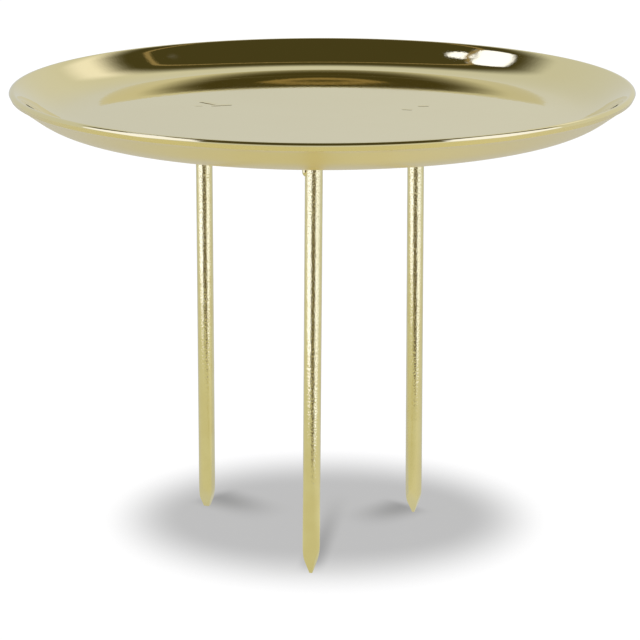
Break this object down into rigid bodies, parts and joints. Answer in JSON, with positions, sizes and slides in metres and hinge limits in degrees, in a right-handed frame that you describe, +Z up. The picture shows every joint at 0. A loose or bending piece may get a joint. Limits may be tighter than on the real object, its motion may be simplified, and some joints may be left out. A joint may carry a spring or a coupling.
{
  "type": "candle plate",
  "caption": "Shallow round brass-plated dish with a flared wall on slender pointed wire spikes welded beneath, pushed into a wreath or foam to hold a pillar candle.",
  "frame": {"origin": "on the dish's axis, at the level of the spike tips", "axes": "+Z up along the dish's axis, -Y to the front where the single front spike is, +X to the right"},
  "size_m": [0.08, 0.08, 0.0591],
  "materials": {
    "dish_brass": "mirror-bright pale brass plating on pressed sheet steel",
    "spike_brass": "bright pale brass plating over drawn wire with faint draw lines",
    "weld_brass": "bright pale brass plating over lumpy weld metal"
  },
  "bodies": {
    "root": {"dish": "dish_brass", "spike_left": "spike_brass", "spike_front": "spike_brass", "spike_right": "spike_brass", "weld_left": "weld_brass", "weld_front": "weld_brass", "weld_right": "weld_brass"}
  },
  "joints": []
}
